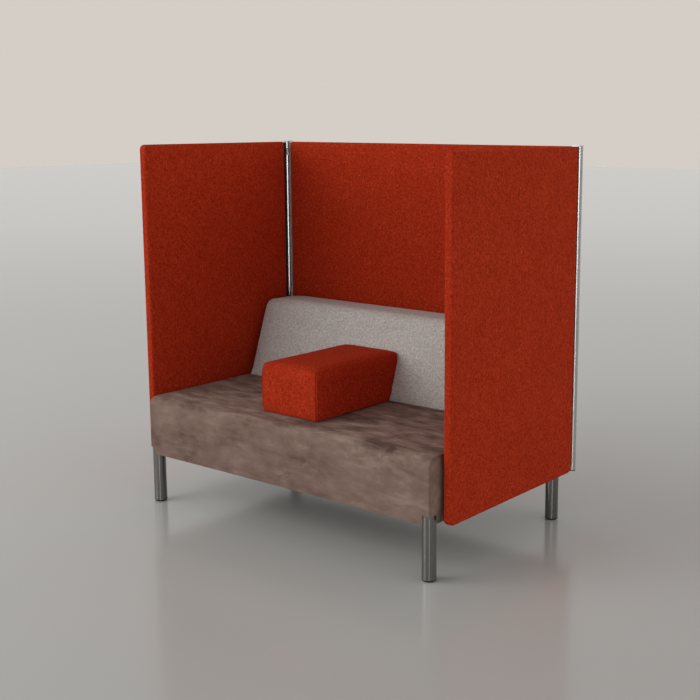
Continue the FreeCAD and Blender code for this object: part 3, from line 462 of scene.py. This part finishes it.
# A sewn seam: a groove with a small lip on each side, as a function of the distance from the seam
def sewSeam(piece, distance, look):
    mesh = piece.data
    normals = np.zeros(len(mesh.vertices) * 3)
    mesh.vertices.foreach_get("normal", normals)
    groove = -look["depth"] * np.exp(-(distance / look["width"]) ** 2)
    lip = look["lip"] * np.exp(-((distance - 2.2 * look["width"]) / (1.2 * look["width"])) ** 2)
    setPoints(mesh, pointsOf(mesh) + normals.reshape(-1, 3) * (groove + lip)[:, None])
    # the nearness to the seam is stored for the painted seam shade in the finishes
    near = np.exp(-(distance / (0.8 * look["width"])) ** 2)
    mesh.attributes.new("seam", "FLOAT", "POINT").data.foreach_set("value", near)


def flatOf(mesh):
    flat = np.zeros(len(mesh.vertices) * 3)
    mesh.attributes["flat"].data.foreach_get("vector", flat)
    return flat.reshape(-1, 3)


def carry(piece, body, slot, *replaced):
    piece.data.materials.clear()
    piece.data.materials.append(finishes[slot])
    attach(piece, body)
    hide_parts(*replaced)


# Seat: a box cushion. Its top is raised by the crown, less with the eighth power of the distance from the
# middle, and its front is drawn in by the draw, less with the square of that distance.
seatLook = {
    "frontTop": 0.032, "rearTop": 0.020, "endEdge": 0.007, "hem": 0.004, "hemRise": 0.06, "step": 0.0145,
    "shrink": 0.001, "endInset": 0.004, "crown": 0.0008, "draw": 0.003, "pressure": 3.0, "stiffness": 30.0,
    "cap": 0.004, "depth": 0.0022, "width": 0.0028, "lip": 0.001, "topGap": 0.0002, "hemWidth": 0.03,
    "recess": 0.0035, "legNotch": 0.008, "legSink": 0.005, "cutPast": 0.02,
}


def makeSeat(look):
    low, high = [np.array(corner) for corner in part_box("seat_cover")]
    boxLow, boxHigh = low.copy(), high.copy()
    inset = np.array([look["endInset"], look["shrink"]])
    low[:2] += inset
    high[:2] -= inset
    high[2] -= look["shrink"] + look["crown"]
    corners = (look["hem"], look["hem"], look["frontTop"], look["rearTop"])
    points, quads, flat = roundBlock(low, high, 0, corners, [look["endEdge"]] * 2, look["step"],
                                     rule=tightFoot(low[2], look["hem"], look["hemRise"]))
    middle = (low + high) / 2
    half = (high - low) / 2
    share = np.abs((points - middle) / half).clip(0, 1)
    rise = np.clip((points[:, 2] - low[2]) / (high[2] - low[2]), 0, 1) ** 4
    points[:, 2] += look["crown"] * (1 - share[:, 0] ** 8) * (1 - share[:, 1] ** 8) * rise
    front = np.clip((middle[1] - points[:, 1]) / half[1], 0, 1) ** 3
    points[:, 1] += look["draw"] * front * (1 - share[:, 0] ** 2)
    piece = meshPiece("seat_cushion", points, quads, flat)
    atSide = np.isclose(np.abs(flat[:, 0]), high[0])
    onSeam = atSide & (np.isclose(flat[:, 2], high[2]) | np.isclose(flat[:, 1], low[1])
                       | np.isclose(flat[:, 1], high[1]))
    swell(piece, onSeam | (flat[:, 2] < low[2] + look["hemWidth"]), look)
    flat = flatOf(piece.data)
    fromSide = high[0] - np.abs(flat[:, 0])
    toTop = np.hypot(fromSide, high[2] - flat[:, 2])
    toFront = np.hypot(fromSide, flat[:, 1] - low[1])
    toRear = np.hypot(fromSide, high[1] - flat[:, 1])
    sewSeam(piece, np.minimum(np.minimum(toTop, toFront), toRear), look)
    points = pointsOf(piece.data)
    points[:, 2] = np.minimum(points[:, 2], boxHigh[2] - look["topGap"])
    setPoints(piece.data, points)
    cutSeat(piece, boxLow, boxHigh, look)
    carry(piece, "sofa", "suede", "seat_cover", "seat_foam")


# What is cut from the seat: a notch over each leg, and the shallow recess of the dust cover inside the hem
def cutSeat(piece, low, high, look):
    places = [f"{end}_{side}" for end in ("front", "rear") for side in ("left", "right")]
    legTop = max(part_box(f"leg_{place}")[1][2] for place in places) - look["legSink"]
    below = low[2] - look["cutPast"]
    boxes = [((low[0] + look["hemWidth"], low[1] + look["hemWidth"], below),
              (high[0] - look["hemWidth"], high[1] - look["hemWidth"], low[2] + look["recess"]))]
    for place in places:
        bottom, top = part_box(f"glide_{place}")
        axis = (np.array(bottom) + np.array(top)) / 2
        outer = np.where(axis[:2] > 0, high[:2] + look["cutPast"], low[:2] - look["cutPast"])
        inner = axis[:2] - np.sign(axis[:2]) * look["legNotch"]
        boxes.append(((*np.minimum(outer, inner), below), (*np.maximum(outer, inner), legTop)))
    unit, faces = boxSurface([np.array([0.0, 1.0])] * 3)
    corners = np.concatenate([np.array(first) + unit * (np.array(last) - np.array(first))
                              for first, last in boxes])
    sides = np.concatenate([faces + 8 * number for number in range(len(boxes))])
    cutter = meshPiece("seat_cutter", corners, sides)
    notch = piece.modifiers.new("notch", "BOOLEAN")
    notch.object = cutter
    notch.operation = "DIFFERENCE"
    notch.solver = "EXACT"
    notch.use_self = True
    piece.data = evaluatedMesh(piece)
    piece.modifiers.clear()
    bpy.data.objects.remove(cutter)


makeSeat(seatLook)
print("seat made")


# Backrest: a block whose front leans back, with a round nose and heel. Its front is bowed with the square of
# the distance from the middle and bulges as a half wave over its height, and its ridge drops at the ends.
backLook = {
    "lean": 18.4, "nose": 0.034, "heel": 0.045, "foot": 0.003, "footRise": 0.05, "endEdge": 0.013,
    "step": 0.014, "shrink": 0.001, "bow": 0.006, "bulge": 0.003, "crown": 0.001, "endDrop": 0.012,
    "endLength": 0.13, "pressure": 3.0, "stiffness": 30.0, "cap": 0.004, "depth": 0.0016, "width": 0.0024,
    "lip": 0.0006,
}


def makeBackrest(look):
    low, high = [np.array(corner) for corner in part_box("backrest_cover")]
    slope = math.tan(math.radians(look["lean"]))
    base = low[2]
    top = high[2] - look["shrink"]
    half = high[0] - look["shrink"]
    footY = low[1] + look["shrink"]
    rear = high[1] - look["shrink"]
    topDepth = rear - footY - slope * (top - base)
    points, quads, flat = roundBlock((-half, 0, base), (half, topDepth, top), 0,
                                     (look["foot"], look["foot"], look["nose"], look["heel"]),
                                     (look["endEdge"], look["endEdge"]), look["step"],
                                     rule=tightFoot(base, look["foot"], look["footRise"]))
    along = points[:, 0] / half
    up = (points[:, 2] - base) / (top - base)
    fore = 1 - points[:, 1] / topDepth
    frontY = footY + slope * (points[:, 2] - base)
    points[:, 1] = frontY + points[:, 1] * (rear - frontY) / topDepth
    points[:, 1] += fore * (look["bow"] * along ** 2 - look["bulge"] * np.sin(math.pi * up.clip(0, 1)))
    atEnds = ((np.abs(points[:, 0]) - half + look["endLength"]) / look["endLength"]).clip(0, 1)
    points[:, 2] -= (look["crown"] * along ** 2 + look["endDrop"] * atEnds ** 2) * up
    piece = meshPiece("backrest_cushion", points, quads, flat)
    atEnd = np.isclose(np.abs(flat[:, 0]), half)
    rim = np.isclose(flat[:, 1], 0) | np.isclose(flat[:, 1], topDepth) | np.isclose(flat[:, 2], top)
    swell(piece, (atEnd & rim) | np.isclose(flat[:, 2], base), look)
    flat = flatOf(piece.data)
    fromEnd = half - np.abs(flat[:, 0])
    fromRim = np.minimum(np.minimum(flat[:, 1], topDepth - flat[:, 1]), top - flat[:, 2])
    sewSeam(piece, np.hypot(fromEnd, fromRim), look)
    carry(piece, "sofa", "grey_felt", "backrest_cover", "backrest_foam")


makeBackrest(backLook)
print("backrest made")


# Armrest: a block whose rear leans with the backrest. Its sides are drawn in as a half wave over the height,
# and its top is raised by the crown, less with the fourth power of the distance from the middle.
armLook = {
    "lean": 18.4, "corner": 0.020, "tight": 0.006, "footCorner": 0.018, "drop": 0.034, "topEdge": 0.019,
    "frontEdge": 0.028, "bottomEdge": 0.006, "step": 0.009, "shrink": 0.0005, "sideFill": 0.005,
    "rearFill": 0.010, "draw": 0.001, "crown": 0.002, "pressure": 3.0, "stiffness": 30.0, "cap": 0.003,
    "depth": 0.002, "width": 0.0022, "lip": 0.0009, "seamInset": 0.006,
}


def makeArmrest(look):
    low, high = [np.array(corner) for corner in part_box("armrest_cover")]
    slope = math.tan(math.radians(look["lean"]))
    base = low[2]
    footRear = high[1] - slope * (high[2] - base) + look["rearFill"]
    low[:2] += look["shrink"]
    high[0] += look["sideFill"]
    high[2] -= look["shrink"] + look["crown"]
    high[1] = footRear - look["shrink"]
    sides = tightSides(base, high[2], look["tight"], look["footCorner"], look["drop"])

    # the top's edges are rounder at the front and right than at the left and rear
    def rule(flat, radius, edge):
        fromLeft = (flat[:, 0] - low[0]) / (high[0] - low[0])
        fromRear = (high[1] - flat[:, 1]) / (high[1] - low[1])
        soft = ease(fromLeft + fromRear, 1.0, 1.3)
        grow = (look["frontEdge"] - look["topEdge"]) * soft
        edge = np.where(flat[:, 2] > (base + high[2]) / 2, look["topEdge"] + grow, edge)
        return sides(flat, radius + grow, edge)

    points, quads, flat = roundBlock(low, high, 2, [look["corner"]] * 4,
                                     (look["bottomEdge"], look["frontEdge"]), look["step"], rule=rule)
    middle = (low + high) / 2
    half = (high - low) / 2
    offset = (points - middle) / half
    share = np.abs(offset).clip(0, 1)
    up = ((points[:, 2] - base) / (high[2] - base)).clip(0, 1)
    belly = np.sin(math.pi * up)
    points[:, 0] -= look["draw"] * belly * offset[:, 0] ** 3
    points[:, 2] += look["crown"] * (1 - share[:, 0] ** 4) * (1 - share[:, 1] ** 4) * up ** 4
    points[:, 1] += (offset[:, 1] / 2 + 0.5) * slope * (points[:, 2] - base)
    piece = meshPiece("armrest_cushion", points, quads, flat)
    square = np.abs((flat - middle) / half)
    atCorner = np.isclose(square[:, 0], 1) & np.isclose(square[:, 1], 1)
    swell(piece, atCorner | (flat[:, 2] < low[2] + look["bottomEdge"]), look)
    flat = flatOf(piece.data)
    fromSide = np.minimum(flat[:, 0] - low[0], high[0] - flat[:, 0])
    fromEnd = np.minimum(flat[:, 1] - low[1], high[1] - flat[:, 1])
    sewSeam(piece, np.hypot(fromSide - look["seamInset"], fromEnd), look)
    carry(piece, "armrest", "red_felt", "armrest_cover", "armrest_foam")


makeArmrest(armLook)
print("armrest made")


# Screens: felt pulled over padded boards, with round corners at the front and soft edges all round
screenLook = {"corner": 0.020, "postCorner": 0.009, "edge": 0.008, "step": 0.020, "ring": 5, "ripple": 0.0003,
              "waves": (9.0, 7.0), "phases": (1.3, 0.4)}


def makeScreen(side, axis, look):
    low, high = [np.array(corner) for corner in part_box(f"{side}_screen_cover")]
    frontCorners = [look["corner"]] * 3 + [look["postCorner"]]
    corners = [look["postCorner"]] * 4 if axis == 1 else frontCorners
    points, quads, _ = roundBlock(low, high, axis, corners, [look["edge"]] * 2, look["step"], look["ring"])
    inPlane = [other for other in range(3) if other != axis]
    wave = np.sin(points[:, inPlane] * look["waves"] + look["phases"]).prod(1)
    outward = np.sign(points[:, axis] - (low[axis] + high[axis]) / 2)
    points[:, axis] -= outward * look["ripple"] * (1 + wave) / 2
    piece = meshPiece(f"{side}_screen_felt", points, quads)
    carry(piece, "sofa", "red_felt", f"{side}_screen_cover", f"{side}_screen_padding")


for side, axis in (("left", 0), ("right", 0), ("back", 1)):
    makeScreen(side, axis, screenLook)
print("screens made")


# Floor, light and camera
stageLook = {
    "floorSize": 60.0, "floorTone": tone(190, 189, 186), "farTone": tone(212, 208, 202), "fade": (4.5, 14.0),
    "floorRough": 0.16, "floorShine": 0.38, "backdrop": tone(212, 206, 198),
    "plain": (0.78, 0.767, 0.745, 1.0),
    "left": (4.4, 4.31, 4.19, 1.0), "leftGleam": (0.9, 0.89, 0.87, 1.0), "right": (1.8, 1.77, 1.71, 1.0),
    "rightGleam": (0.36, 0.36, 0.35, 1.0), "band": (5.0, 4.9, 4.8, 1.0), "bandTurn": -0.87,
    "top": (0.32, 0.315, 0.31, 1.0), "leftReach": (0.55, 0.8), "frontReach": (0.05, 0.5),
    "rightReach": (0.45, 0.8), "bandReach": (0.07, 0.14), "topReach": (0.1, 0.8),
    "keyPlace": (-3.0, -5.0, 3.6), "keyAim": (0.1, 0.0, 0.7), "keySize": 4.0, "keyPower": 135.0,
    "camera": (2.9097, -3.3594, 1.5214), "tilt": 80.091, "yaw": 38.003, "lens": 60.07,
    "sensor": 36, "shift": (-0.0875, -0.0396),
}


def makeStage(look):
    spots = np.array([[-1, -1, 0], [1, -1, 0], [1, 1, 0], [-1, 1, 0]]) * look["floorSize"] / 2
    floor = meshPiece("floor", spots, np.array([[0, 1, 2, 3]]))
    start, dress = newFinish("floor", {"Roughness": look["floorRough"],
                                       "Specular IOR Level": look["floorShine"]})
    place = start.node("TexCoord", output="Object")
    away = start.node("VectorMath", {"operation": "LENGTH"}, {0: place}, "Value")
    ground = mixed(start, away.within(*look["fade"]), look["floorTone"], look["farTone"])
    floor.data.materials.append(dress({"Base Color": ground}))

    world = bpy.data.worlds.new("studio")
    scene.world = world
    world.use_nodes = True
    start = Thread(world.node_tree)
    place = start.node("TexCoord", output="Generated")
    sideways, rearward, height = [start.node("SeparateXYZ", None, {0: place}, axis) for axis in range(3)]
    # light from the front left, from the right and from above, with other strengths in reflections
    gleam = start.node("LightPath", output="Is Glossy Ray")
    toLeft = (0 - sideways).within(*look["leftReach"]) * (0 - rearward).within(*look["frontReach"])
    around = mixed(start, toLeft, look["plain"], mixed(start, gleam, look["left"], look["leftGleam"]))
    fromRight = mixed(start, gleam, look["right"], look["rightGleam"])
    around = mixed(start, sideways.within(*look["rightReach"]), around, fromRight)
    # a narrow upright band that shows only in reflections
    swing = start.calc("ABSOLUTE", start.calc("ARCTAN2", rearward, sideways) - look["bandTurn"], 0)
    around = mixed(start, gleam * (1 - swing.within(*look["bandReach"])), around, look["band"])
    around = mixed(start, height.within(*look["topReach"]), around, look["top"])
    light = start.node("Background", None, {"Color": around})
    seen = start.node("Background", None, {"Color": look["backdrop"]})
    direct = start.node("LightPath", output="Is Camera Ray")
    both = start.node("MixShader", None, {0: direct, 1: light, 2: seen})
    world.node_tree.links.new(both.socket, world.node_tree.nodes["World Output"].inputs["Surface"])

    lamp = bpy.data.lights.new("key", "AREA")
    lamp.size = look["keySize"]
    lamp.energy = look["keyPower"]
    key = bpy.data.objects.new("key", lamp)
    key.location = look["keyPlace"]
    aim = np.array(look["keyAim"]) - np.array(look["keyPlace"])
    flatReach = math.hypot(aim[0], aim[1])
    key.rotation_euler = (math.atan2(flatReach, -aim[2]), 0, math.atan2(aim[1], aim[0]) - math.pi / 2)
    scene.collection.objects.link(key)

    lens = bpy.data.cameras.new("camera")
    lens.lens = look["lens"]
    lens.sensor_width = look["sensor"]
    lens.shift_x, lens.shift_y = look["shift"]
    camera = bpy.data.objects.new("camera", lens)
    camera.location = look["camera"]
    camera.rotation_euler = (math.radians(look["tilt"]), 0, math.radians(look["yaw"]))
    scene.collection.objects.link(camera)
    scene.camera = camera
    scene.view_settings.view_transform = "Standard"


makeStage(stageLook)
print("stage made")
